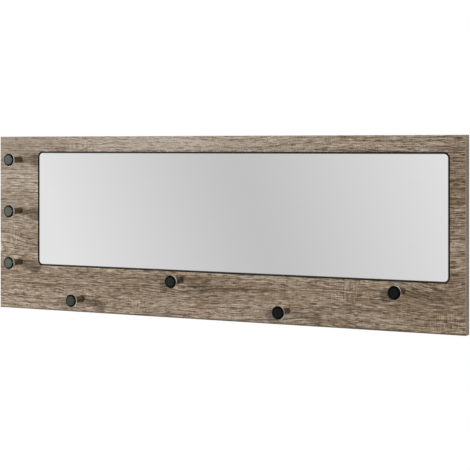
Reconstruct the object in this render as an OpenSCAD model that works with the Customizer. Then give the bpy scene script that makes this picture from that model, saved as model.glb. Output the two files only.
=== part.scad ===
// Wall panel for a hallway: a long mirror let into an oak-faced board, and seven turned knob hooks.
// The board hangs on two keyhole plates let into its back, so that it lies flat against the wall.
// Frame: origin at the centre of the back face, +X along the panel, +Z up, and the front faces -Y.
// Every piece is drawn lying on its back (X across, Y up the panel, Z out from the wall)
// and is then stood up by stand().

/* [Panel] */
// Width over the edge bands
panel_w = 1000; // [960:5:1100]
// Height over the edge bands
panel_h = 350; // [335:5:400]
// Thickness of the board
panel_t = 18; // [16:1:22]
// Thickness of the edge bands
band_t = 1; // [0.8:0.1:2]
// Arris taken off the outer front edge of each band
band_arris = 0.4; // [0.2:0.1:0.6]

/* [Mirror opening] */
// Margin of board left of the opening
opening_left = 94; // [88:1:110]
// Margin of board right of the opening
opening_right = 29; // [27:1:40]
// Margin of board above the opening
opening_top = 30; // [26:1:40]
// Margin of board below the opening
opening_bottom = 89; // [85:1:100]
// Corner radius of the opening
opening_r = 11; // [8:0.5:16]
// Gap between the opening and the glass, all round
glass_gap = 2.5; // [1.5:0.5:4]
// Depth of the glass face below the front of the board
glass_sink = 0.5; // [0.25:0.25:3]

/* [Mirror] */
// Thickness of the glass
glass_t = 3; // [3:0.5:4]
// Width of the polished arris round the front of the glass
glass_arris = 1.2; // [0.6:0.1:1.6]
// Thickness of the safety film on the back of the glass
film_t = 0.3; // [0.2:0.1:0.5]
// Thickness of the foam tape that holds the mirror
tape_t = 1; // [0.8:0.1:1.6]
// Width of one strip of tape
tape_w = 20; // [12:1:30]
// Number of strips of tape
tape_count = 5; // [3:1:7]
// Distance from the ends of the glass to the outer strips and to all strips' ends
tape_inset = 22; // [15:1:40]

/* [Hook places] */
// Hooks in the column at the left
column_count = 3; // [2:1:3]
// Distance of the column from the left end
column_inset = 50; // [45:1:60]
// Height of the lowest hook in the column
column_low = 95; // [85:1:110]
// Distance of the highest hook in the column from the top
column_top = 47; // [35:1:60]
// Hooks in the staggered row along the bottom
row_count = 4; // [3:1:5]
// Distance of the first hook in the row from the left end
row_left = 201; // [180:1:220]
// Distance of the last hook in the row from the right end
row_right = 118; // [100:1:140]
// Height of the low hooks in the row
row_low = 26; // [22:1:35]
// Distance of the high hooks in the row below the opening
row_drop = 16; // [14:1:20]

/* [Hooks] */
// Reach of a hook from the front of the board to its face
hook_reach = 41; // [35:1:50]
// Diameter of the head
head_d = 25; // [22:0.5:30]
// Thickness of the head
head_t = 5; // [4.5:0.25:7]
// Chamfer round the face of the head
head_chamfer = 1.8; // [1:0.1:2.2]
// Arris round the back of the head
head_back_arris = 0.5; // [0.3:0.1:0.8]
// Diameter of the stem
stem_d = 13; // [11:0.5:15]
// Radius of the flare where the stem meets the head
stem_flare = 1.5; // [1:0.25:2.5]
// Arris round the foot of the stem
stem_foot_arris = 0.4; // [0.2:0.1:0.6]
// Diameter of the stud that joins the stem to the head
stud_d = 6; // [5:0.5:7]
// Length of the stud
stud_l = 3; // [2:0.25:3.5]

/* [Hook screws] */
// Diameter of the screw
screw_d = 4; // [3:0.5:5]
// Length of screw held in the stem
screw_grip = 12; // [8:1:16]
// Diameter of the pan head
pan_d = 8; // [7:0.5:8.5]
// Height of the pan head
pan_h = 2.6; // [2:0.1:3]
// Outer diameter of the washer
washer_d = 9; // [9:0.5:11]
// Thickness of the washer
washer_t = 0.8; // [0.5:0.1:1.2]
// Depth that the pan head lies below the back of the board
pan_sink = 2; // [1:0.5:3]

/* [Hanger plates] */
// Distance of each plate's centre line from the end of the panel
hanger_inset = 15; // [14:0.5:18]
// Distance of the entry holes below the top of the panel
hanger_drop = 45; // [35:1:60]
// Width of a plate
hanger_w = 16; // [15:0.5:18]
// Length of a plate
hanger_l = 50; // [48:1:56]
// Thickness of a plate
hanger_t = 1.5; // [1.5:0.1:2]
// Diameter of the entry hole for the wall screw's head
entry_d = 9; // [8:0.5:9.5]
// Width of the slot for the wall screw's neck
slot_w = 4.6; // [4:0.2:5.5]
// Distance from the entry hole up to the top of the slot's straight sides
slot_rise = 9; // [7:0.5:10]
// Width of the hollow behind the plate
hollow_w = 12; // [11:0.5:13]
// Depth of the hollow behind the plate
hollow_depth = 8; // [6:0.5:9]
// Distance between a plate's two fixing screws
fixing_pitch = 38; // [37:0.5:40]
// Diameter of a fixing screw
fixing_d = 3; // [2.5:0.1:3.5]
// Diameter of a fixing screw's countersunk head
fixing_head_d = 5.6; // [5:0.1:6]
// Length of a fixing screw
fixing_l = 12; // [9:1:13]

/* [Clearances] */
// Play round a screw in the hole that it is driven into, and round the stud
driven_play = 0.05; // [0.02:0.01:0.1]
// Play round a hook screw where it passes through board and washer
through_play = 0.25; // [0.1:0.05:0.5]
// Play round a washer in its counterbore
washer_play = 0.5; // [0.3:0.1:0.8]
// Play round a hanger plate in its recess
plate_play = 0.2; // [0.1:0.05:0.4]
// Space left past the end of a screw or stud in its hole
end_space = 0.5; // [0.3:0.1:1]

/* [Hidden] */
$fn = 96;
EPS = 0.01;

board_w = panel_w - 2 * band_t;
board_h = panel_h - 2 * band_t;

opening_w = panel_w - opening_left - opening_right;
opening_h = panel_h - opening_bottom - opening_top;
opening_x = (opening_left - opening_right) / 2;
opening_y = (opening_bottom - opening_top) / 2;

glass_w = opening_w - 2 * glass_gap;
glass_h = opening_h - 2 * glass_gap;
glass_r = opening_r - glass_gap;

// Heights off the wall of the mirror's layers
glass_z = panel_t - glass_sink - glass_t;
film_z = glass_z - film_t;
tape_z = film_z - tape_t;

column_x = column_inset - panel_w / 2;
column_step = (panel_h - column_low - column_top) / (column_count - 1);
row_step = (panel_w - row_left - row_right) / (row_count - 1);
row_high = opening_bottom - row_drop;
// Centre of each hook: down the column, then along the row
hook_places = concat(
    [for (i = [column_count - 1 : -1 : 0])
        [column_x, column_low + i * column_step - panel_h / 2]],
    [for (i = [0 : row_count - 1])
        [row_left + i * row_step - panel_w / 2, (i % 2 == 0 ? row_low : row_high) - panel_h / 2]]
);
hook_count = len(hook_places);

stem_l = hook_reach - head_t;
counterbore_d = washer_d + 2 * washer_play;
counterbore_depth = pan_sink + pan_h + washer_t;
// Plane that a screw's head bears on, on its washer
bearing_z = counterbore_depth - washer_t;

hanger_x = panel_w / 2 - hanger_inset;
hanger_y = panel_h / 2 - hanger_drop;
// Depth of a fixing screw's head below the back of its plate
fixing_sink = 0.1;
countersink_d = fixing_head_d + 2 * driven_play;
// Share of a pan head's height that is its sloping crown
crown_share = 0.4;
// Cross recess as shares: span of the head, blade of the shank, and depth of the head
recess_span_share = 0.55;
recess_blade_share = 0.25;
recess_depth_share = 0.6;
// Length and end of a fixing screw's point, as shares of its diameter
point_share = 0.7;
point_end_share = 0.2;

// ---- Placing ----

// Stands a piece up that was drawn lying on its back
module stand() {
    rotate([90, 0, 0]) children();
}

// Puts a piece on hook i's centre line
module at_hook(i) {
    translate([hook_places[i].x, hook_places[i].y, 0]) children();
}

// Puts a piece on the entry hole of the hanger plate at the left (side = -1) or right (side = 1)
module at_hanger(side) {
    translate([side * hanger_x, hanger_y, 0]) children();
}

// Repeats a piece at a hanger plate's two fixing screws
module at_fixings() {
    for (side = [-1, 1])
        translate([0, side * fixing_pitch / 2, 0]) children();
}

// ---- Shapes used more than once ----

module rounded_rect(w, h, r) {
    square([w - 2 * r, h], center = true);
    square([w, h - 2 * r], center = true);
    for (x = [-1, 1], y = [-1, 1])
        translate([x * (w / 2 - r), y * (h / 2 - r)]) circle(r = r);
}

// Slot with round ends, its two end circles at y = low and y = high
module slot_outline(w, low, high) {
    translate([-w / 2, low]) square([w, high - low]);
    for (y = [low, high]) translate([0, y]) circle(d = w);
}

// Trapezoid bar along X, as wide as w at its foot and 2 * arris narrower at its top
module arris_bar(length, w, arris) {
    rotate([90, 0, 90])
        linear_extrude(height = length, center = true)
            polygon([[-w / 2, 0], [w / 2, 0], [w / 2 - arris, arris], [arris - w / 2, arris]]);
}

// Rounded sheet with a 45 degree arris round its upper face
module arrised_sheet(w, h, r, t, arris) {
    linear_extrude(height = t - arris) rounded_rect(w, h, r);
    translate([0, 0, t - arris]) {
        arris_bar(w - 2 * r, h, arris);
        rotate([0, 0, 90]) arris_bar(h - 2 * r, w, arris);
        for (x = [-1, 1], y = [-1, 1])
            translate([x * (w / 2 - r), y * (h / 2 - r), 0])
                cylinder(r1 = r, r2 = r - arris, h = arris);
    }
}

// Cross recess sunk into a screw head from below
module cross_recess(screw_head_d, shank_d, head_h) {
    span = screw_head_d * recess_span_share;
    blade = shank_d * recess_blade_share;
    for (turn = [0, 90])
        rotate([0, 0, turn])
            translate([-span / 2, -blade / 2, -EPS]) cube([span, blade, head_h * recess_depth_share + EPS]);
}

// ---- Board ----

// Hollow behind a keyhole plate: the plate's recess, room for the wall screw and the pilot holes
module hanger_pocket() {
    translate([0, 0, -EPS])
        linear_extrude(height = hanger_t + EPS)
            slot_outline(hanger_w + 2 * plate_play, (hanger_w - hanger_l) / 2, (hanger_l - hanger_w) / 2);
    linear_extrude(height = hanger_t + hollow_depth) slot_outline(hollow_w, 0, slot_rise);
    at_fixings() cylinder(d = fixing_d + 2 * driven_play, h = fixing_l + end_space);
}

// Clearance hole and counterbore for one hook's screw
module screw_hole() {
    translate([0, 0, -EPS]) cylinder(d = screw_d + 2 * through_play, h = panel_t + 2 * EPS);
    translate([0, 0, -EPS]) cylinder(d = counterbore_d, h = counterbore_depth + EPS);
}

module board() {
    color("#8f7d6a")
        difference() {
            translate([-board_w / 2, -board_h / 2, 0]) cube([board_w, board_h, panel_t]);
            translate([opening_x, opening_y, tape_z])
                linear_extrude(height = panel_t) rounded_rect(opening_w, opening_h, opening_r);
            for (i = [0 : hook_count - 1]) at_hook(i) screw_hole();
            for (side = [-1, 1]) at_hanger(side) hanger_pocket();
        }
}

// Edge band along X with its arris at the outer front edge, lying above y = 0
module edge_band(length) {
    color("#7d6d5c")
        rotate([90, 0, 90])
            linear_extrude(height = length, center = true)
                polygon([
                    [0, 0],
                    [band_t, 0],
                    [band_t, panel_t - band_arris],
                    [band_t - band_arris, panel_t],
                    [0, panel_t]
                ]);
}

module edge_band_top() {
    translate([0, board_h / 2, 0]) edge_band(panel_w);
}

module edge_band_bottom() {
    mirror([0, 1, 0]) edge_band_top();
}

module edge_band_right() {
    translate([board_w / 2, 0, 0]) rotate([0, 0, -90]) edge_band(board_h);
}

module edge_band_left() {
    mirror([1, 0, 0]) edge_band_right();
}

// ---- Mirror ----

module mirror_glass() {
    color("#d5d8d9")
        translate([opening_x, opening_y, glass_z])
            arrised_sheet(glass_w, glass_h, glass_r, glass_t, glass_arris);
}

module mirror_film() {
    color("#3f4442")
        translate([opening_x, opening_y, film_z])
            linear_extrude(height = film_t) rounded_rect(glass_w, glass_h, glass_r);
}

module mirror_tape() {
    step = (glass_w - 2 * tape_inset - tape_w) / (tape_count - 1);
    color("#e8e6df")
        translate([opening_x, opening_y, tape_z])
            for (i = [0 : tape_count - 1])
                translate([tape_inset - glass_w / 2 + i * step, tape_inset - glass_h / 2, 0])
                    cube([tape_w, glass_h - 2 * tape_inset, tape_t]);
}

// ---- Hooks ----

// Round head: flat face with a wide chamfer, and a blind hole for the stem's stud
module hook_head() {
    head_r = head_d / 2;
    color("#3f4541")
        translate([0, 0, panel_t + stem_l])
            difference() {
                rotate_extrude()
                    polygon([
                        [0, 0],
                        [head_r - head_back_arris, 0],
                        [head_r, head_back_arris],
                        [head_r, head_t - head_chamfer],
                        [head_r - head_chamfer, head_t],
                        [0, head_t]
                    ]);
                translate([0, 0, -EPS])
                    cylinder(d = stud_d + 2 * driven_play, h = stud_l + end_space + EPS);
            }
}

// Half profile of the stem: foot arris, straight shank and a hollow flare up to the head
module stem_profile() {
    stem_r = stem_d / 2;
    polygon([
        [0, 0],
        [stem_r - stem_foot_arris, 0],
        [stem_r, stem_foot_arris],
        [stem_r, stem_l],
        [0, stem_l]
    ]);
    translate([stem_r, stem_l - stem_flare])
        difference() {
            square(stem_flare);
            translate([stem_flare, 0]) circle(r = stem_flare);
        }
}

module hook_stem() {
    color("#5a5048")
        translate([0, 0, panel_t]) {
            difference() {
                rotate_extrude() stem_profile();
                translate([0, 0, -EPS])
                    cylinder(d = screw_d + 2 * driven_play, h = screw_grip + end_space + EPS);
            }
            translate([0, 0, stem_l - EPS]) cylinder(d = stud_d, h = stud_l + EPS);
        }
}

// Pan-head screw driven from the back, with its cross recess facing the wall
module hook_screw() {
    crown = pan_h * crown_share;
    color("#b9bcbe")
        difference() {
            union() {
                translate([0, 0, bearing_z])
                    cylinder(d = screw_d, h = panel_t - bearing_z + screw_grip);
                translate([0, 0, bearing_z - pan_h + crown]) cylinder(d = pan_d, h = pan_h - crown);
                translate([0, 0, bearing_z - pan_h])
                    cylinder(d1 = pan_d - 2 * crown, d2 = pan_d, h = crown);
            }
            translate([0, 0, bearing_z - pan_h]) cross_recess(pan_d, screw_d, pan_h);
        }
}

module hook_washer() {
    color("#a9acae")
        translate([0, 0, bearing_z])
            difference() {
                cylinder(d = washer_d, h = washer_t);
                translate([0, 0, -EPS])
                    cylinder(d = screw_d + 2 * through_play, h = washer_t + 2 * EPS);
            }
}

// ---- Hangers ----

// Steel plate with a keyhole: the wall screw's head goes in at the entry and its neck up the slot
module hanger_plate(side) {
    color("#c2c4c6")
        at_hanger(side)
            difference() {
                linear_extrude(height = hanger_t)
                    slot_outline(hanger_w, (hanger_w - hanger_l) / 2, (hanger_l - hanger_w) / 2);
                translate([0, 0, -EPS]) {
                    cylinder(d = entry_d, h = hanger_t + 2 * EPS);
                    linear_extrude(height = hanger_t + 2 * EPS) slot_outline(slot_w, 0, slot_rise);
                }
                at_fixings() {
                    translate([0, 0, -EPS])
                        cylinder(d = fixing_d + 2 * driven_play, h = hanger_t + 2 * EPS);
                    countersink();
                }
            }
}

// 90 degree countersink, cut from the back of a hanger plate
module countersink() {
    depth = (countersink_d - fixing_d) / 2 - driven_play;
    cylinder(d1 = countersink_d, d2 = fixing_d + 2 * driven_play, h = depth);
}

module hanger_screws(side) {
    head_h = (fixing_head_d - fixing_d) / 2;
    point_h = fixing_d * point_share;
    point_z = fixing_l - fixing_sink - point_h;
    color("#b3b6b8")
        at_hanger(side) at_fixings()
            difference() {
                translate([0, 0, fixing_sink]) {
                    cylinder(d1 = fixing_head_d, d2 = fixing_d, h = head_h);
                    cylinder(d = fixing_d, h = point_z);
                    translate([0, 0, point_z])
                        cylinder(d1 = fixing_d, d2 = fixing_d * point_end_share, h = point_h);
                }
                translate([0, 0, fixing_sink]) cross_recess(fixing_head_d, fixing_d, head_h);
            }
}

// ---- Drawing ----

stand() board();
stand() edge_band_top();
stand() edge_band_bottom();
stand() edge_band_left();
stand() edge_band_right();
stand() mirror_glass();
stand() mirror_film();
stand() mirror_tape();
for (i = [0 : hook_count - 1]) {
    stand() at_hook(i) hook_head();
    stand() at_hook(i) hook_stem();
    stand() at_hook(i) hook_screw();
    stand() at_hook(i) hook_washer();
}
stand() hanger_plate(-1);  // hanger_plate_left
stand() hanger_plate(1);  // hanger_plate_right
stand() hanger_screws(-1);  // hanger_screws_left
stand() hanger_screws(1);  // hanger_screws_right
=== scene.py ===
# %% [markdown]
# # A wall mirror with knob hooks
#
# The object is a long board with an oak face. A mirror is sunk into it, and seven turned hooks in
# dark chrome stand out of it. This lesson dresses the engineering model of that panel: every rigid
# piece is already at its real size and place, so what is left to make is the look of things.
# We set up a camera, a studio and a floor, mix one material for each finish, and then model
# afresh the pieces whose edges and curves catch the light.

# %% Load the fixed frame
import math

import bmesh
import bpy
from mathutils import Matrix, Vector


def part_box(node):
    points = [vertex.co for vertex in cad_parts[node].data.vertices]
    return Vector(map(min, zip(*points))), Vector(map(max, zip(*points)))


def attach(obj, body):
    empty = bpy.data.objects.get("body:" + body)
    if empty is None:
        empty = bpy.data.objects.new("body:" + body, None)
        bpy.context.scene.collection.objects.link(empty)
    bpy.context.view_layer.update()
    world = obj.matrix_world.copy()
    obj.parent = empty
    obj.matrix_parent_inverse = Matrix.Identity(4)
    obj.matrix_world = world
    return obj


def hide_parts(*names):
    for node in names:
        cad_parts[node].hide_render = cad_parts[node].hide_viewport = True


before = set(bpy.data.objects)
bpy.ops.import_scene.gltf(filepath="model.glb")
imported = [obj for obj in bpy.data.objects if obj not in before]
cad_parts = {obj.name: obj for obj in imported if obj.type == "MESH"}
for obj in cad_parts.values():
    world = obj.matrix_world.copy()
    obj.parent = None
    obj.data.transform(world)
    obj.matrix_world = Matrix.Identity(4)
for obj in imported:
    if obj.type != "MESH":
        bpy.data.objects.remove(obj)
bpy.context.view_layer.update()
MM = 0.001
print("nodes:", len(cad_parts))

# %% [markdown]
# ## Reading sizes from the frame
#
# Nothing here is measured twice. The panel, the mirror and each hook give their own boxes, and
# every new piece takes its size and place from them. The front of the panel faces -Y, and the
# wall behind it is at Y = 0.

# %% Sizes that the rest of the script shares
BOARD_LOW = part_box("board")[0]
GLASS_LOW, GLASS_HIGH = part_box("mirror_glass")
FRONT_Y = BOARD_LOW[1]
GLASS_GAP = 2.5 * MM
HOOK_COUNT = sum(name.startswith("hook_head_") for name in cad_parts)
HOOKS = range(1, HOOK_COUNT + 1)


def node_middle(name):
    """The centre of a CAD node's box."""
    low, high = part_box(name)
    return [(a + b) / 2 for a, b in zip(low, high)]


print("hooks:", HOOK_COUNT)
print("front at y =", round(FRONT_Y, 4), "and glass at y =", round(GLASS_LOW[1], 4))

# %% [markdown]
# ## Camera
#
# The panel is seen from its right, from just below its top edge, through a long lens. The
# camera is level, so upright edges stay upright in the picture. It is aimed straight ahead at its
# own height, and the lens is shifted to bring the panel down to the middle of the frame.

# %% Camera
CAMERA_PLACE = (1.3447, -2.4706, 0.1531)
CAMERA_TURN = 27.906
SENSOR_MM = 36.0
LENS_MM = 112.9
SHIFT_Y = -0.1865
CLIP_END = 50.0
UPRIGHT = math.pi / 2

camera_data = bpy.data.cameras.new("camera")
camera_data.sensor_width = SENSOR_MM
camera_data.lens = LENS_MM
camera_data.shift_y = SHIFT_Y
camera_data.clip_end = CLIP_END
camera = bpy.data.objects.new("camera", camera_data)
camera.location = CAMERA_PLACE
camera.rotation_euler = (UPRIGHT, 0.0, math.radians(CAMERA_TURN))
bpy.context.collection.objects.link(camera)
bpy.context.scene.camera = camera
print("camera at", CAMERA_PLACE, "turned", CAMERA_TURN, "degrees")

# %% [markdown]
# ## Helpers for shader nodes
#
# A procedural material is a small graph. A few helpers keep the graphs readable: one adds a node
# with its settings and inputs, two do arithmetic, one spreads a value over a range, and two mix
# colours and shaders.


# %% Node helpers
def add_node(tree, kind, inputs=None, **settings):
    """Adds a shader node. An input is a plain value or another node's socket."""
    node = tree.nodes.new(kind)
    for key, value in settings.items():
        setattr(node, key, value)
    for key, value in (inputs or {}).items():
        if isinstance(value, bpy.types.NodeSocket):
            tree.links.new(value, node.inputs[key])
        else:
            node.inputs[key].default_value = value
    return node


def maths(tree, operation, a, b=0.0, c=0.0, clamp=False):
    """One arithmetic step on numbers or sockets."""
    inputs = {0: a, 1: b, 2: c}
    node = add_node(tree, "ShaderNodeMath", inputs, operation=operation, use_clamp=clamp)
    return node.outputs[0]


def vector_maths(tree, operation, a, b=(0.0, 0.0, 0.0), output=0):
    """One arithmetic step on vectors. Steps that give a number have it at output 1."""
    node = add_node(tree, "ShaderNodeVectorMath", {0: a, 1: b}, operation=operation)
    return node.outputs[output]


def spread(tree, value, low, high, to_low=0.0, to_high=1.0):
    """Maps low..high onto to_low..to_high with soft ends."""
    inputs = {0: value, 1: low, 2: high, 3: to_low, 4: to_high}
    node = add_node(tree, "ShaderNodeMapRange", inputs, interpolation_type="SMOOTHSTEP")
    return node.outputs[0]


def mix_colours(tree, amount, a, b, mode="MIX"):
    """Mixes two colours by an amount from 0 to 1."""
    a, b = ((*c, 1.0) if isinstance(c, tuple) else c for c in (a, b))
    inputs = {0: amount, 6: a, 7: b}
    node = add_node(tree, "ShaderNodeMix", inputs, data_type="RGBA", blend_type=mode)
    return node.outputs[2]


def mix_shaders(tree, amount, a, b):
    """Mixes the shaders of two nodes by an amount from 0 to 1."""
    inputs = {0: amount, 1: a.outputs[0], 2: b.outputs[0]}
    return add_node(tree, "ShaderNodeMixShader", inputs)


def object_place(tree):
    """The place of the shaded point in metres: every piece's object sits at the origin."""
    return add_node(tree, "ShaderNodeTexCoord").outputs["Object"]


def new_material(name, **surface):
    """A material whose Principled surface has the given plain values."""
    material = bpy.data.materials.new(name)
    material.use_nodes = True
    shader = material.node_tree.nodes["Principled BSDF"]
    for key, value in surface.items():
        shader.inputs[key.replace("_", " ")].default_value = value
    return material, material.node_tree, shader


print("helpers ready")

# %% [markdown]
# ## Studio
#
# The picture is a cut-out on pure white, so rays from the camera see a white world. The mirror
# looks past the camera into the studio: pale walls with a greyer strip between them, which makes
# the soft slanting V of grey in the glass. Rays that come off shiny things get that strip, as a
# function of their direction. A ray that hardly goes towards the studio is taken as one that goes
# there a little, so that no step divides by zero. All other rays get plain soft light.

# %% World
WHITE = (1.0, 1.0, 1.0, 1.0)
FILL = 0.10
WALL_TONE = 0.80
STRIP_TONE = 0.525
STRIP_SLOPE = 1.45
STRIP_MIDDLE = -0.531
STRIP_LEAN = -0.33
STRIP_SOFTNESS = 0.025
LEAST_AHEAD = 0.05

world = bpy.data.worlds.new("studio")
bpy.context.scene.world = world
world.use_nodes = True
tree = world.node_tree
tree.nodes.clear()
looking = add_node(tree, "ShaderNodeTexCoord").outputs["Generated"]
direction = add_node(tree, "ShaderNodeSeparateXYZ", {0: looking}).outputs
ahead = maths(tree, "MULTIPLY", direction["Y"], -1.0)
ahead = maths(tree, "MAXIMUM", ahead, LEAST_AHEAD)
sideways = maths(tree, "DIVIDE", direction["X"], ahead)
upwards = maths(tree, "DIVIDE", direction["Z"], ahead)
strip_middle = maths(tree, "MULTIPLY_ADD", upwards, STRIP_LEAN, STRIP_MIDDLE)
off_strip = maths(tree, "SUBTRACT", sideways, strip_middle)
off_strip = maths(tree, "MULTIPLY_ADD", off_strip, off_strip, STRIP_SOFTNESS ** 2)
off_strip = maths(tree, "SQRT", off_strip)
tone = maths(tree, "MULTIPLY_ADD", off_strip, STRIP_SLOPE, STRIP_TONE)
tone = maths(tree, "MINIMUM", tone, WALL_TONE)
walls = add_node(tree, "ShaderNodeCombineColor", {0: tone, 1: tone, 2: tone}).outputs[0]
studio = add_node(tree, "ShaderNodeBackground", {"Color": walls, "Strength": 1.0})
fill = add_node(tree, "ShaderNodeBackground", {"Color": WHITE, "Strength": FILL})
white = add_node(tree, "ShaderNodeBackground", {"Color": WHITE, "Strength": 1.0})
ray = add_node(tree, "ShaderNodeLightPath").outputs
shiny = maths(tree, "MAXIMUM", ray["Is Glossy Ray"], ray["Is Transmission Ray"])
seen = mix_shaders(tree, shiny, fill, studio)
seen = mix_shaders(tree, ray["Is Camera Ray"], seen, white)
add_node(tree, "ShaderNodeOutputWorld", {"Surface": seen.outputs[0]})
print("world fill", FILL, "and strip", STRIP_TONE, "to", WALL_TONE)

# %% [markdown]
# ## Lamps
#
# The shadows on a panel tell where its lamps stand. A far one, right of the camera and a little
# above it, drops the shadow of each head down to its left. A small near one at the left end
# brightens that end and throws the shadows of the stems to the right. A third lights the back.
# The last is a card of light that only shiny things see: the polished heads near it show it as
# a pale sheen, and the heads at the right end, which look past it, stay black. A lamp that would
# leave a hard white spot in polished metal is hidden from shiny things.


# %% Lamps
def add_lamp(name, place, target, width, height, power):
    """A soft oblong lamp that faces its target."""
    data = bpy.data.lights.new(name, "AREA")
    data.shape = "RECTANGLE"
    data.size = width
    data.size_y = height
    data.energy = power
    lamp = bpy.data.objects.new(name, data)
    lamp.location = place
    aim = Vector(target) - Vector(place)
    lamp.rotation_euler = aim.to_track_quat("-Z", "Y").to_euler()
    bpy.context.collection.objects.link(lamp)
    return lamp


PANEL_MIDDLE = (0.0, 0.0, 0.0)
LEFT_HALF = (-0.25, 0.0, 0.0)
RIGHT_LAMP = (2.62, -2.97, 0.66)
LEFT_LAMP = (-1.56, -1.20, 0.20)
BACK_LAMP = (-0.90, 2.90, 1.00)
LEFT_CARD = (-3.16, -3.00, -0.25)
CARD_TARGET = (LEFT_CARD[0], 0.0, LEFT_CARD[2])

right_lamp = add_lamp("lamp_right", RIGHT_LAMP, PANEL_MIDDLE, width=0.35, height=0.35, power=105.0)
left_lamp = add_lamp("lamp_left", LEFT_LAMP, LEFT_HALF, width=0.16, height=0.16, power=24.3)
left_lamp.visible_glossy = False
back_lamp = add_lamp("lamp_back", BACK_LAMP, PANEL_MIDDLE, width=1.0, height=1.0, power=85.0)
back_lamp.visible_glossy = False
card = add_lamp("card_left", LEFT_CARD, CARD_TARGET, width=1.15, height=1.6, power=108.0)
card.visible_diffuse = False

# %% [markdown]
# ## Floor
#
# The panel hangs at the height of a coat rack, so the floor is well below it and outside the main
# picture. It is pale and takes the panel's soft shadow. Towards its rim it fades into the white of
# the world, so that no edge shows, and in the mirror it takes the tone of the studio's walls. From
# below it is clear, so that the underside of the panel can be looked at too.

# %% Floor
FLOOR_Z = -1.5
FLOOR_RADIUS = 6.0
FLOOR_SIDES = 96
FLOOR_TONE = (0.86, 0.86, 0.86, 1.0)
FLOOR_FADE = (1.2, 3.0)
FLOOR_GLOW = 0.70

bpy.ops.object.select_all(action="DESELECT")
bpy.ops.mesh.primitive_circle_add(
    vertices=FLOOR_SIDES, radius=FLOOR_RADIUS, fill_type="NGON", location=(0.0, 0.0, FLOOR_Z))
floor = bpy.context.active_object
floor.name = "floor"
floor_white, tree, shader = new_material("floor_white", Base_Color=FLOOR_TONE, Roughness=0.9)
flat = vector_maths(tree, "MULTIPLY", object_place(tree), (1.0, 1.0, 0.0))
radius = vector_maths(tree, "LENGTH", flat, output=1)
ray = add_node(tree, "ShaderNodeLightPath").outputs
shiny = maths(tree, "MAXIMUM", ray["Is Glossy Ray"], ray["Is Transmission Ray"])
looked_at = maths(tree, "MAXIMUM", ray["Is Camera Ray"], shiny)
fade = spread(tree, radius, *FLOOR_FADE, FLOOR_GLOW, 1.0)
fade = maths(tree, "MULTIPLY", fade, looked_at)
brightness = maths(tree, "MULTIPLY_ADD", shiny, WALL_TONE - 1.0, 1.0)
glow = add_node(tree, "ShaderNodeEmission", {"Color": WHITE, "Strength": brightness})
surface = mix_shaders(tree, fade, shader, glow)
underside = add_node(tree, "ShaderNodeNewGeometry").outputs["Backfacing"]
from_below = maths(tree, "MULTIPLY", underside, ray["Is Camera Ray"])
clear = add_node(tree, "ShaderNodeBsdfTransparent")
surface = mix_shaders(tree, from_below, surface, clear)
tree.links.new(surface.outputs[0], tree.nodes["Material Output"].inputs["Surface"])
floor.data.materials.append(floor_white)
print("floor at z =", FLOOR_Z)

# %% [markdown]
# ## Oak face
#
# The board is chipboard with a printed oak face. The print shows weathered, rough-sawn oak:
# short dark dashes along the board, broad bands of brown and of pale grey, lines that swell
# round a few knots, and patches of fine upright saw marks. A picture of oak could be wrapped
# round the board, but noise textures need no file and never repeat. Noise that is stretched
# along X looks like fibres, and bending the place at which it is read makes them wander and swell.
#
# The numbers come first. A noise is given by its features a metre along the grain, its features
# a metre across it and a shift that sets it apart from the others. What else a row holds is said
# above it.

# %% Layers of the grain
# A ramp from dark to pale: a place on the ramp, and its colour.
OAK_TONES = ((0.00, (0.070, 0.044, 0.023)),
             (0.30, (0.144, 0.101, 0.064)),
             (0.60, (0.250, 0.192, 0.138)),
             (1.00, (0.440, 0.373, 0.302)))
BROWN_CAST = (1.00, 0.975, 0.93)
GREY_CAST = (1.01, 1.06, 1.13)
# How far the grain bends up and down: a noise and a height in metres.
BENDS = {"wander": (2.0, 3.0, 1.0, 0.020),
         "ripple": (16.0, 30.0, 2.0, 0.003)}
# Broad bands: a noise, its octaves of detail and a weight.
SLOW_LAYERS = {"bands": (2.0, 18.0, 3.0, 0.0, 0.45),
               "patches": (4.0, 64.0, 4.0, 1.0, 0.24)}
# Fibres: a noise and a weight.
FINE_LAYERS = {"streaks": (7.0, 520.0, 5.0, 0.50),
               "fibres": (72.0, 560.0, 6.0, 1.00)}
# Marks: a noise, the range above which it is kept, and a weight.
MARKS = {"pores": (62.0, 520.0, 7.0, (0.55, 0.60), -0.52),
         "lines": (5.0, 500.0, 11.0, (0.57, 0.60), -0.42),
         "flecks": (40.0, 480.0, 8.0, (0.58, 0.61), 0.34)}
# Short cuts across the grain over the whole board.
CUTS = (330.0, 90.0, 12.0)
CUTS_WEIGHT = 0.50
# Longer upright cuts in the saw-marked patches: a noise, two ranges of it and their weights.
SAW_CUTS = (560.0, 40.0, 9.0)
PALE_CUTS = (0.53, 0.60)
PALE_CUTS_WEIGHT = 0.45
DARK_CUTS = (0.44, 0.34)
DARK_CUTS_WEIGHT = -0.25
# Brown bands: a noise, and the range over which it turns brown.
BROWN_BANDS = (9.0, 42.0, 10.0)
BROWN_RANGE = (0.34, 0.60)
# The mean of the slow layers, and the mean and the strength of all the fine ones.
MEAN_TONE = 0.60
FINE_MEAN = 0.94
BOLDNESS = 0.95
# Fibres stand up and pores go down.
FIBRE_HEIGHT = 0.5
PORE_HEIGHT = -1.0
# The way in which a shift moves a noise.
SHIFT_WAY = (1.0, 1.3, 0.7)
print("noise layers:", sum(len(group) for group in (BENDS, SLOW_LAYERS, FINE_LAYERS, MARKS)))
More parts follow.
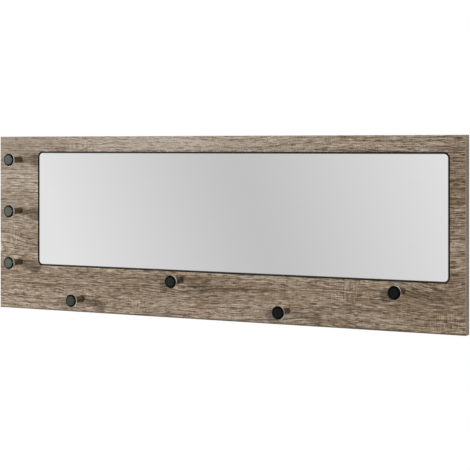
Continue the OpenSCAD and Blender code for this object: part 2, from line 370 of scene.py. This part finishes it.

# %% [markdown]
# Soft ovals place what is in one spot only, among them one painted shadow. Each is given by its
# centre and by how far it reaches along X and Z, in metres.

# %% Spots of the grain
# Two ovals, along the top and at the left end, are lighter, calmer and less brown than the rest.
PALE_OVALS = (((-0.13, 0.178), (0.40, 0.045)),
               ((-0.54, 0.090), (0.15, 0.110)))
PALE_OVAL_WEIGHT = 0.06
PALE_OVAL_CALM = -0.50
PALE_OVAL_COOL = 0.7
# Brown stains, the first of them a painted shadow of the third head, worn paler patches and
# patches with saw marks.
STAINS_AND_HEAD_SHADOW = (((-0.412, -0.096), (0.028, 0.008)),
          ((-0.460, -0.080), (0.050, 0.024)),
          ((-0.290, -0.100), (0.130, 0.008)),
          ((-0.080, -0.098), (0.100, 0.009)),
          ((0.060, -0.122), (0.100, 0.018)),
          ((0.050, -0.106), (0.070, 0.010)),
          ((-0.430, -0.040), (0.050, 0.030)),
          ((-0.455, -0.005), (0.050, 0.022)),
          ((0.290, -0.110), (0.120, 0.040)),
          ((0.280, -0.135), (0.080, 0.022)),
          ((0.450, -0.130), (0.090, 0.060)),
          ((0.435, -0.152), (0.060, 0.022)),
          ((0.430, -0.120), (0.080, 0.018)),
          ((0.490, 0.137), (0.030, 0.026)),
          ((0.490, -0.046), (0.030, 0.014)),
          ((0.490, 0.040), (0.035, 0.120)))
STAIN_AND_SHADOW_WEIGHT = -0.13
WORN = (((-0.250, -0.134), (0.120, 0.020)),
        ((0.240, 0.160), (0.060, 0.014)))
WORN_WEIGHT = 0.10
SAW_PATCHES = (((-0.165, -0.152), (0.022, 0.012)),
               ((0.272, -0.105), (0.028, 0.024)),
               ((0.462, -0.155), (0.036, 0.016)),
               ((-0.470, -0.035), (0.022, 0.026)),
               ((-0.300, 0.160), (0.030, 0.010)))
# Knots: an oval, and how far it pushes the grain up or down.
KNOTS = (((-0.06, -0.125), (0.075, 0.018), 0.010),
         ((0.215, -0.172), (0.060, 0.022), -0.013),
         ((0.455, -0.100), (0.060, 0.030), 0.012),
         ((-0.490, -0.020), (0.050, 0.030), -0.014),
         ((0.060, 0.168), (0.080, 0.020), 0.010))
print("knots:", len(KNOTS), "stains:", len(STAINS_AND_HEAD_SHADOW), "saw patches:", len(SAW_PATCHES))

# %% [markdown]
# These helpers make the parts of the print: a stretched noise, soft oval spots, layers added to
# a total, the bent place, a ramp of colours and an embossed height.


# %% Grain helpers
def stretched_noise(tree, place, along, across, shift, detail=2.0):
    """Noise with about so many features a metre along the grain and across it."""
    moved = [way * shift for way in SHIFT_WAY]
    inputs = {"Vector": place, "Location": moved, "Scale": (along, across, across)}
    mapping = add_node(tree, "ShaderNodeMapping", inputs)
    inputs = {"Vector": mapping.outputs[0], "Scale": 1.0, "Detail": detail}
    return add_node(tree, "ShaderNodeTexNoise", inputs).outputs["Fac"]


def soft_spot(tree, place, centre, reach):
    """1 at the centre of an oval spot on the face, falling smoothly to 0."""
    offset = vector_maths(tree, "SUBTRACT", place, (centre[0], 0.0, centre[1]))
    offset = vector_maths(tree, "MULTIPLY", offset, (1.0 / reach[0], 0.0, 1.0 / reach[1]))
    distance = vector_maths(tree, "DOT_PRODUCT", offset, offset, output=1)
    return maths(tree, "EXPONENT", maths(tree, "MULTIPLY", distance, -1.0))


def spots(tree, place, ovals):
    """The sum of several soft spots."""
    total = 0.0
    for centre, reach in ovals:
        total = maths(tree, "ADD", total, soft_spot(tree, place, centre, reach))
    return total


def add_weighted(tree, layer, weight, total):
    """Adds a layer times its weight to a total."""
    return maths(tree, "MULTIPLY_ADD", layer, weight, total)


def add_centred(tree, layer, weight, total):
    """Adds a noise times its weight to a total, so that its middle value adds nothing."""
    return maths(tree, "ADD", total, maths(tree, "MULTIPLY_ADD", layer, weight, -0.5 * weight))


def bent_place(tree, place):
    """The place where the grain is read: it wanders slowly, ripples, and swells round knots."""
    lift = 0.0
    for along, across, shift, height in BENDS.values():
        lift = add_centred(tree, stretched_noise(tree, place, along, across, shift), height, lift)
    for centre, reach, height in KNOTS:
        lift = add_weighted(tree, soft_spot(tree, place, centre, reach), height, lift)
    upwards = add_node(tree, "ShaderNodeCombineXYZ", {"Z": lift}).outputs[0]
    return vector_maths(tree, "ADD", place, upwards)


def tone_ramp(tree, value, stops):
    """Colours a value from 0 to 1 by a ramp of stops."""
    node = add_node(tree, "ShaderNodeValToRGB", {0: value})
    ramp = node.color_ramp.elements
    while len(ramp) < len(stops):
        ramp.new(0.5)
    for element, (position, colour) in zip(ramp, stops):
        element.position = position
        element.color = (*colour, 1.0)
    return node.outputs["Color"]


def emboss(tree, shader, height, strength, depth):
    """Presses a height into the surface's shading."""
    inputs = {"Height": height, "Strength": strength, "Distance": depth}
    bump = add_node(tree, "ShaderNodeBump", inputs)
    tree.links.new(bump.outputs[0], shader.inputs["Normal"])


print("grain helpers ready")

# %% [markdown]
# Now the print itself. Slow layers give the bands. Fine layers give streaks and fibres, and marks
# are what is left of a noise when only its highest parts are kept. The ovals are added to them.
# All of it is summed to one tone, and the ramp turns the tone into a colour.


# %% Oak print
def slow_tone(tree, place, bent, paleness):
    """The tone of the broad bands, with the paler ovals, the stains with a painted head shadow and
    the worn patches.
    """
    tone = MEAN_TONE
    for along, across, shift, detail, weight in SLOW_LAYERS.values():
        layer = stretched_noise(tree, bent, along, across, shift, detail)
        tone = add_centred(tree, layer, weight, tone)
    tone = add_weighted(tree, paleness, PALE_OVAL_WEIGHT, tone)
    # The stains include a painted shadow of the third head.
    tone = add_weighted(tree, spots(tree, place, STAINS_AND_HEAD_SHADOW), STAIN_AND_SHADOW_WEIGHT, tone)
    return add_weighted(tree, spots(tree, place, WORN), WORN_WEIGHT, tone)


def fine_tone(tree, place, bent):
    """The tone of the fibres, marks and cuts, which is about 0 on the whole, and its layers."""
    layers = {}
    tone = -FINE_MEAN
    for name, (along, across, shift, weight) in FINE_LAYERS.items():
        layers[name] = stretched_noise(tree, bent, along, across, shift)
        tone = add_weighted(tree, layers[name], weight, tone)
    for name, (along, across, shift, kept, weight) in MARKS.items():
        layers[name] = spread(tree, stretched_noise(tree, bent, along, across, shift), *kept)
        tone = add_weighted(tree, layers[name], weight, tone)
    cuts = stretched_noise(tree, place, *CUTS)
    return add_weighted(tree, cuts, CUTS_WEIGHT, tone), layers


def saw_marked(tree, place, tone):
    """The tone with pale and dark upright cuts in the saw-marked patches, kept from 0 to 1."""
    saw = stretched_noise(tree, place, *SAW_CUTS)
    sawn = spots(tree, place, SAW_PATCHES)
    pale_cuts = maths(tree, "MULTIPLY", spread(tree, saw, *PALE_CUTS), sawn)
    dark_cuts = maths(tree, "MULTIPLY", spread(tree, saw, *DARK_CUTS), sawn)
    tone = add_weighted(tree, pale_cuts, PALE_CUTS_WEIGHT, tone)
    return maths(tree, "MULTIPLY_ADD", dark_cuts, DARK_CUTS_WEIGHT, tone, clamp=True)


def oak_colour(tree, bent, paleness, tone):
    """The colour of a tone: browner in the brown bands, and greyer in the paler ovals."""
    colour = tone_ramp(tree, tone, OAK_TONES)
    warmth = spread(tree, stretched_noise(tree, bent, *BROWN_BANDS), *BROWN_RANGE)
    coolness = maths(tree, "MULTIPLY", paleness, PALE_OVAL_COOL)
    warmth = maths(tree, "SUBTRACT", warmth, coolness, clamp=True)
    colour = mix_colours(tree, warmth, colour, BROWN_CAST, mode="MULTIPLY")
    return mix_colours(tree, paleness, colour, GREY_CAST, mode="MULTIPLY")


def oak_print(tree):
    """The shaded place, the colour of the print there, and the height of its embossed grain."""
    place = object_place(tree)
    bent = bent_place(tree, place)
    paleness = spots(tree, place, PALE_OVALS)
    slow = slow_tone(tree, place, bent, paleness)
    fine, layers = fine_tone(tree, place, bent)
    boldness = add_weighted(tree, paleness, PALE_OVAL_CALM, BOLDNESS)
    tone = maths(tree, "MULTIPLY_ADD", fine, boldness, slow)
    colour = oak_colour(tree, bent, paleness, saw_marked(tree, place, tone))
    pore_height = maths(tree, "MULTIPLY", layers["pores"], PORE_HEIGHT)
    height = add_weighted(tree, layers["fibres"], FIBRE_HEIGHT, pore_height)
    return place, colour, height


print("oak print ready")

# %% [markdown]
# The front's lowest edge is rounded over and turns from the light, which shows as a thin dark
# line. The board and its bottom band share that edge, so a function shades the print for both.

# %% Lowest edge
EDGE_SHADE = (0.045, 0.036, 0.027)
EDGE_SHADE_AMOUNT = 0.65
SHADE_BEGINS = BOARD_LOW[2] + 2.6 * MM
SHADE_FULL = BOARD_LOW[2] + 0.6 * MM
SHADE_DEPTH = 0.5 * MM


def shade_low_edge(tree, place, colour):
    """Darkens the lowest millimetres of the front."""
    at = add_node(tree, "ShaderNodeSeparateXYZ", {0: place}).outputs
    low_edge = spread(tree, at["Z"], SHADE_BEGINS, SHADE_FULL)
    on_front = maths(tree, "LESS_THAN", at["Y"], FRONT_Y + SHADE_DEPTH)
    shade = maths(tree, "MULTIPLY", low_edge, on_front)
    shade = maths(tree, "MULTIPLY", shade, EDGE_SHADE_AMOUNT)
    return mix_colours(tree, shade, colour, EDGE_SHADE)


print("edge shaded over", round((SHADE_BEGINS - BOARD_LOW[2]) / MM, 1), "mm")

# %% [markdown]
# ## Oak board and its cut faces
#
# The print covers the front and the back. Everything between them has been cut: the screw holes
# and the hangers' hollows show raw chipboard. The cut faces of the opening for the mirror are
# near-black, a painted shade that makes the gap round the glass a clean dark line. All of it is
# one piece, so the material tells the faces apart by their place.

# %% Oak board
CHIP_PALE = (0.60, 0.45, 0.29)
CHIP_DARK = (0.30, 0.20, 0.11)
CHIPS_A_METRE = 650.0
GAP_SHADE_BLACK = (0.012, 0.011, 0.009)
SKIN = 0.05 * MM
OPENING_MARGIN = 1.0 * MM
FACE_EMBOSS = (0.35, 0.3 * MM)

oak_board, tree, shader = new_material("oak_board", Roughness=0.55, Specular_IOR_Level=0.20)
place, colour, height = oak_print(tree)
colour = shade_low_edge(tree, place, colour)
at = add_node(tree, "ShaderNodeSeparateXYZ", {0: place}).outputs
below_front = maths(tree, "GREATER_THAN", at["Y"], FRONT_Y + SKIN)
below_back = maths(tree, "LESS_THAN", at["Y"], -SKIN)
cut = maths(tree, "MULTIPLY", below_front, below_back)
chips = add_node(tree, "ShaderNodeTexVoronoi", {"Vector": place, "Scale": CHIPS_A_METRE})
chip_tone = add_node(tree, "ShaderNodeSeparateColor", {0: chips.outputs["Color"]}).outputs[0]
chipboard = mix_colours(tree, chip_tone, CHIP_DARK, CHIP_PALE)
colour = mix_colours(tree, cut, colour, chipboard)
glass_middle = node_middle("mirror_glass")
margin = GLASS_GAP + OPENING_MARGIN
half_width = (GLASS_HIGH[0] - GLASS_LOW[0]) / 2 + margin
half_height = (GLASS_HIGH[2] - GLASS_LOW[2]) / 2 + margin
in_width = maths(tree, "COMPARE", at["X"], glass_middle[0], half_width)
in_height = maths(tree, "COMPARE", at["Z"], glass_middle[2], half_height)
in_opening = maths(tree, "MULTIPLY", in_width, in_height)
painted = maths(tree, "MULTIPLY", in_opening, cut)
# The opening's cut faces get a painted shade of near-black.
colour = mix_colours(tree, painted, colour, GAP_SHADE_BLACK)
tree.links.new(colour, shader.inputs["Base Color"])
emboss(tree, shader, height, *FACE_EMBOSS)
print("opening painted over", round(2 * half_width, 3), "by", round(2 * half_height, 3), "m")

# %% [markdown]
# ## Edge bands
#
# The edges carry a thin plastic band in the same oak, printed a shade greyer and paler; that paler
# grey is partly the band's print and partly a painted sheen of a band seen at a low angle. It is
# duller than the face, so that the top edge doesn't gleam when it is seen at a low angle.

# %% Oak edge
BAND_GREY_SHEEN = (0.400, 0.365, 0.305)
BAND_SHEEN_AMOUNT = 0.35
BAND_EMBOSS = (0.15, 0.1 * MM)

oak_edge, tree, shader = new_material("oak_edge", Roughness=0.80, Specular_IOR_Level=0.15)
place, colour, height = oak_print(tree)
# The band's paler grey is partly a painted sheen.
colour = mix_colours(tree, BAND_SHEEN_AMOUNT, colour, BAND_GREY_SHEEN)
colour = shade_low_edge(tree, place, colour)
tree.links.new(colour, shader.inputs["Base Color"])
emboss(tree, shader, height, *BAND_EMBOSS)
print("edge band", round(100 * BAND_SHEEN_AMOUNT), "percent grey")

# %% [markdown]
# ## Surfaces of the mirror
#
# A mirror is glass with silver behind it, but all that the eye gets is the silver, so it is a
# clean metal surface with next to no roughness. Its ground arris is frosted, and its cut sides
# are nearly black, as the dark backing shows through them. Most of a noise lies between 0.3 and
# 0.7, so that range is what gets spread over a range of roughness.

# %% Mirror surfaces
SILVER = (0.955, 0.955, 0.955, 1.0)
NOISE_RANGE = (0.3, 0.7)
HAZE = (30.0, 30.0, 9.0)
HAZE_ROUGHNESS = (0.004, 0.010)
GRIND = (900.0, 900.0, 10.0)
GRIND_ROUGHNESS = (0.25, 0.40)

mirror_silver, tree, shader = new_material("mirror_silver", Base_Color=SILVER, Metallic=1.0)
haze = stretched_noise(tree, object_place(tree), *HAZE)
rough = spread(tree, haze, *NOISE_RANGE, *HAZE_ROUGHNESS)
tree.links.new(rough, shader.inputs["Roughness"])


def glass_edge(name, colour):
    """Cut glass, frosted unevenly by the grinding wheel."""
    material, tree, shader = new_material(name, Base_Color=(*colour, 1.0))
    grind = stretched_noise(tree, object_place(tree), *GRIND)
    rough = spread(tree, grind, *NOISE_RANGE, *GRIND_ROUGHNESS)
    tree.links.new(rough, shader.inputs["Roughness"])
    return material


ground_glass = glass_edge("ground_glass", (0.20, 0.185, 0.155))
dark_glass = glass_edge("dark_glass", (0.020, 0.022, 0.018))
print("mirror surfaces:", mirror_silver.name, ground_glass.name, dark_glass.name)

# %% [markdown]
# ## Metals
#
# Dark chrome is a metal with a dark colour, so it shows a dim picture of what is round it. Each
# head has four finishes: a satin rim, a dark chamfer, a darker ring and a dark face; the darker
# ring is a painted dark reflection. The stems' metal is tinted brown, a painted reflection of the
# wood round them. Zinc is mottled by its plating.

# %% Metals
CHROME_MOTTLE = 700.0
MOTTLE_DARKER = 0.82
MOTTLE_ROUGHNESS = (0.85, 1.2)


def metal(name, colour, roughness, mottle=CHROME_MOTTLE):
    """A metal whose colour and roughness vary a little from place to place."""
    material, tree, shader = new_material(name, Metallic=1.0)
    inputs = {"Vector": object_place(tree), "Scale": mottle, "Detail": 3.0}
    cloud = add_node(tree, "ShaderNodeTexNoise", inputs).outputs["Fac"]
    darker = tuple(MOTTLE_DARKER * c for c in colour)
    tree.links.new(mix_colours(tree, cloud, darker, colour), shader.inputs["Base Color"])
    low, high = (factor * roughness for factor in MOTTLE_ROUGHNESS)
    rough = spread(tree, cloud, *NOISE_RANGE, low, high)
    tree.links.new(rough, shader.inputs["Roughness"])
    return material


face_black = metal("face_black", (0.0150, 0.0164, 0.0132), 0.25)
# A near-black ring on the flat front: a painted dark reflection, such as a chamfer would show.
painted_reflection_ring = metal("painted_reflection_ring", (0.0020, 0.0020, 0.0017), 0.22)
edge_chrome = metal("edge_chrome", (0.010, 0.0105, 0.0095), 0.26)
rim_chrome = metal("rim_chrome", (0.88, 0.88, 0.85), 0.50)
# The stems' brown tint is a painted reflection of the wood round them.
stem_chrome_wood_reflection = metal("stem_chrome_wood_reflection", (0.24, 0.20, 0.145), 0.16)
bright_zinc = metal("bright_zinc", (0.54, 0.55, 0.56), 0.28, mottle=900.0)
satin_zinc = metal("satin_zinc", (0.48, 0.49, 0.50), 0.34, mottle=500.0)
print("materials so far:", len(bpy.data.materials))

# %% [markdown]
# ## Film and foam
#
# The safety film behind the glass and the foam tape that holds it are hidden when the panel
# hangs. Both are dull plastics, so a fine grain in the colour and in the shading is enough.

# %% Film and foam
GRAIN_DARKER = 0.85
GRAIN_EMBOSS = (0.3, 0.1 * MM)


def dull(name, colour, roughness, grains_a_metre):
    """A dull plastic with a fine grain."""
    material, tree, shader = new_material(name, Roughness=roughness)
    inputs = {"Vector": object_place(tree), "Scale": grains_a_metre, "Detail": 2.0}
    grain = add_node(tree, "ShaderNodeTexNoise", inputs).outputs["Fac"]
    darker = tuple(GRAIN_DARKER * c for c in colour)
    tree.links.new(mix_colours(tree, grain, darker, colour), shader.inputs["Base Color"])
    emboss(tree, shader, grain, *GRAIN_EMBOSS)
    return material


grey_film = dull("grey_film", (0.24, 0.26, 0.25), 0.6, 500.0)
white_foam = dull("white_foam", (0.86, 0.85, 0.80), 0.85, 1500.0)
print("materials:", len(bpy.data.materials))

# %% [markdown]
# ## Dressing the pieces that stay
#
# A CAD piece whose shape is right keeps its mesh and only gets its material.


# %% Dress the CAD pieces
def dress(node_name, material):
    """Gives a CAD piece its material."""
    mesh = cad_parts[node_name].data
    mesh.materials.clear()
    mesh.materials.append(material)


dress("board", oak_board)
for side in ("top", "bottom", "left", "right"):
    dress("edge_band_" + side, oak_edge)
dress("mirror_film", grey_film)
dress("mirror_tape", white_foam)
for i in HOOKS:
    dress(f"hook_screw_{i}", bright_zinc)
    dress(f"hook_washer_{i}", bright_zinc)
for side in ("left", "right"):
    dress("hanger_plate_" + side, satin_zinc)
    dress("hanger_screws_" + side, bright_zinc)
print("dressed", sum(bool(node.data.materials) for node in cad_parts.values()), "pieces")

# %% [markdown]
# ## Modelling by hand, in code
#
# The rest is modelled as one would with the mouse. A primitive is added at its size and place.
# Its place is written into its mesh at once, so that the object itself sits at the origin. Then,
# in edit mode, edges or faces are picked by where they lie, and an operator works on them. The
# helpers below do the picking.


# %% Modelling helpers
def begin(name):
    """Names the primitive that was just added, writes its place into its mesh and opens it."""
    piece = bpy.context.active_object
    piece.name = name
    piece.data.name = name
    bpy.ops.object.transform_apply(location=True, rotation=True, scale=True)
    bpy.ops.object.mode_set(mode="EDIT")
    bpy.ops.mesh.select_all(action="DESELECT")
    return piece


def pick_edges(piece, test):
    """Selects the edges of the open mesh whose middle and direction pass the test."""
    mesh = bmesh.from_edit_mesh(piece.data)
    bpy.ops.mesh.select_mode(type="EDGE")
    for edge in mesh.edges:
        a, b = (v.co for v in edge.verts)
        edge.select_set(test((a + b) / 2, (b - a).normalized()))
    mesh.select_flush_mode()
    bmesh.update_edit_mesh(piece.data)


def pick_faces(piece, test):
    """Selects the faces of the open mesh whose middle and normal pass the test."""
    mesh = bmesh.from_edit_mesh(piece.data)
    bpy.ops.mesh.select_mode(type="FACE")
    for face in mesh.faces:
        face.select_set(test(face.calc_center_median(), face.normal))
    mesh.select_flush_mode()
    bmesh.update_edit_mesh(piece.data)


def end(piece, sharp_angle=35.0):
    """Closes the mesh with its normals outward and its soft edges smooth."""
    bpy.ops.mesh.select_all(action="SELECT")
    bpy.ops.mesh.normals_make_consistent(inside=False)
    bpy.ops.object.mode_set(mode="OBJECT")
    bpy.ops.object.shade_smooth_by_angle(angle=math.radians(sharp_angle))
    piece.modifiers.new("flat_faces", "WEIGHTED_NORMAL").keep_sharp = True
    bpy.ops.object.modifier_apply(modifier="flat_faces")


def stand_for(piece, node, slot, *materials):
    """Puts a new piece in a CAD node's stead, with its materials."""
    for material in materials:
        piece.data.materials.append(material)
    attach(piece, "root")
    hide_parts(node)


def near(a, b, reach=0.01 * MM):
    """Whether two places on an axis are the same, but for rounding."""
    return abs(a - b) < reach


def looks_forward(normal):
    """Whether a face lies square to the viewer who stands before the panel."""
    return normal.y < -0.99


print("modelling helpers ready")

# %% [markdown]
# ## Mirror glass
#
# The mirror is a sheet of 3 mm glass, silvered on its back, with round corners and a ground
# arris round its front. A cube is added at the sheet's size, its four upright corners are rounded
# with a bevel of many segments, and the edge round the front gets a narrow bevel of one. The
# right lamp and the card would show in it as hard white oblongs, so both of them leave it out.

# %% Mirror glass
GLASS_CORNER = 8.5 * MM
CORNER_STEPS = 12
GLASS_ARRIS = 1.2 * MM

glass_size = [high - low for low, high in zip(GLASS_LOW, GLASS_HIGH)]
bpy.ops.object.select_all(action="DESELECT")
bpy.ops.mesh.primitive_cube_add(size=1.0, location=glass_middle, scale=glass_size)
glass = begin("mirror_pane")
pick_edges(glass, lambda middle, way: abs(way.y) > 0.99)
bpy.ops.mesh.bevel(offset=GLASS_CORNER, segments=CORNER_STEPS, affect="EDGES")
pick_edges(glass, lambda middle, way: near(middle.y, GLASS_LOW[1]))
bpy.ops.mesh.bevel(offset=GLASS_ARRIS, segments=1, affect="EDGES")
end(glass, sharp_angle=20.0)
stand_for(glass, "mirror_glass", "mirror", dark_glass, ground_glass, mirror_silver)
for face in glass.data.polygons:
    leans_forward = face.normal.y < -0.3
    face.material_index = int(leans_forward) + int(looks_forward(face.normal))
left_out = bpy.data.collections.new("left_out")
left_out.objects.link(glass)
left_out.collection_objects[0].light_linking.link_state = "EXCLUDE"
for light in (right_lamp, card):
    light.light_linking.receiver_collection = left_out
print("glass faces:", len(glass.data.polygons))

# %% [markdown]
# ## Hooks
#
# Each hook is turned from bar in two pieces. The head is a disc: a cylinder whose front edge gets
# a chamfer and whose back edge is just broken. The chamfer is wide enough to show as a ring of
# another tone. Very small second bevels take the last sharpness off, as polishing does. An inset
# splits the flat front into a face and a darker ring round it, which carries a painted dark
# reflection.

# %% Hook head
HEAD_SIDES = 72
HEAD_CHAMFER = 1.8 * MM
HEAD_BACK_ARRIS = 0.5 * MM
DARK_REFLECTION_RING = 1.7 * MM
POLISHED_OFF = 0.15 * MM

head_low, head_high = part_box("hook_head_1")
head_radius = (head_high[0] - head_low[0]) / 2
head_middle = node_middle("hook_head_1")
chamfer_ends = head_low[1] + 1.2 * HEAD_CHAMFER
bpy.ops.object.select_all(action="DESELECT")
bpy.ops.mesh.primitive_cylinder_add(
    vertices=HEAD_SIDES, radius=head_radius, depth=head_high[1] - head_low[1],
    location=head_middle, rotation=(UPRIGHT, 0.0, 0.0))
head = begin("knob_1")
pick_edges(head, lambda middle, way: near(middle.y, head_low[1]))
bpy.ops.mesh.bevel(offset=HEAD_CHAMFER, segments=1, affect="EDGES")
pick_edges(head, lambda middle, way: near(middle.y, head_high[1]))
bpy.ops.mesh.bevel(offset=HEAD_BACK_ARRIS, segments=3, affect="EDGES")
pick_edges(head, lambda middle, way: abs(way.y) < 0.01 and middle.y < chamfer_ends)
bpy.ops.mesh.bevel(offset=POLISHED_OFF, segments=2, affect="EDGES")
pick_faces(head, lambda middle, normal: looks_forward(normal))
# The inset ring gets a painted dark reflection.
bpy.ops.mesh.inset(thickness=DARK_REFLECTION_RING)
end(head)
print("head faces:", len(head.data.polygons))

# %% [markdown]
# The stem is a straight shank. At the board its edge is broken, and at the head it flares out in
# a hollow curve. The flare is pulled out of the shank's end in small steps, each a little longer
# and a little wider, so that together they follow a quarter of a circle.

# %% Hook stem
STEM_SIDES = 48
STEM_FLARE = 1.5 * MM
STEM_FOOT_ARRIS = 0.4 * MM
FLARE_STEPS = 8

stem_low, stem_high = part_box("hook_stem_1")
stem_radius = (stem_high[0] - stem_low[0]) / 2 - STEM_FLARE
shank_front = head_high[1] + STEM_FLARE
shank_middle = (head_middle[0], (stem_high[1] + shank_front) / 2, head_middle[2])
bpy.ops.object.select_all(action="DESELECT")
bpy.ops.mesh.primitive_cylinder_add(
    vertices=STEM_SIDES, radius=stem_radius, depth=stem_high[1] - shank_front,
    location=shank_middle, rotation=(UPRIGHT, 0.0, 0.0))
stem = begin("stem_1")
pick_edges(stem, lambda middle, way: near(middle.y, stem_high[1]))
bpy.ops.mesh.bevel(offset=STEM_FOOT_ARRIS, segments=3, affect="EDGES")
pick_faces(stem, lambda middle, normal: looks_forward(normal))
radius = stem_radius
reached = 0.0
for step in range(1, FLARE_STEPS + 1):
    turn = 0.5 * math.pi * step / FLARE_STEPS
    next_reached = STEM_FLARE * math.sin(turn)
    next_radius = stem_radius + STEM_FLARE * (1.0 - math.cos(turn))
    forward = (0.0, reached - next_reached, 0.0)
    bpy.ops.mesh.extrude_region_move(TRANSFORM_OT_translate={"value": forward})
    grow = next_radius / radius
    axis_point = (head_middle[0], shank_front - next_reached, head_middle[2])
    bpy.ops.transform.resize(value=(grow, 1.0, grow), center_override=axis_point)
    radius, reached = next_radius, next_reached
end(stem, sharp_angle=50.0)
print("stem faces:", len(stem.data.polygons), "flare radius in mm:", round(radius / MM, 2))

# %% [markdown]
# The other six hooks are copies. Each copy gets a mesh of its own, which is shifted to the place
# that the frame gives for that hook. Each face of a head takes its finish from the way it looks:
# rim, chamfer and front differ in their normals, and the inset ring is made of four-sided faces.


# %% All seven hooks
def copy_to(piece, name, shift):
    """A copy of a piece with its own mesh, shifted by a vector."""
    mesh = piece.data.copy()
    mesh.name = name
    mesh.transform(Matrix.Translation(shift))
    twin = bpy.data.objects.new(name, mesh)
    bpy.context.collection.objects.link(twin)
    return twin


def finish_of(face):
    """Which of a head's finishes a face has: 0 the rim, 1 the chamfer, 2 the ring of painted dark
    reflection, 3 the face.
    """
    on_chamfer = face.normal.y < -0.3
    on_front = face.normal.y < -0.95
    inside_ring = looks_forward(face.normal) and len(face.vertices) > 4
    return int(on_chamfer) + int(on_front) + int(inside_ring)


HEAD_FINISHES = (rim_chrome, edge_chrome, painted_reflection_ring, face_black)
heads = {1: head}
stems = {1: stem}
for i in HOOKS[1:]:
    shift = Vector(node_middle(f"hook_head_{i}")) - Vector(head_middle)
    heads[i] = copy_to(head, f"knob_{i}", shift)
    stems[i] = copy_to(stem, f"stem_{i}", shift)
for i in HOOKS:
    stand_for(heads[i], f"hook_head_{i}", "hook_metal", *HEAD_FINISHES)
    stand_for(stems[i], f"hook_stem_{i}", "hook_metal", stem_chrome_wood_reflection)
    for face in heads[i].data.polygons:
        face.material_index = finish_of(face)
print("hooks made:", len(heads))

# %% [markdown]
# ## Finish
#
# The Standard view transform shows colours as they are written.

# %% Finish
bpy.context.scene.view_settings.view_transform = "Standard"
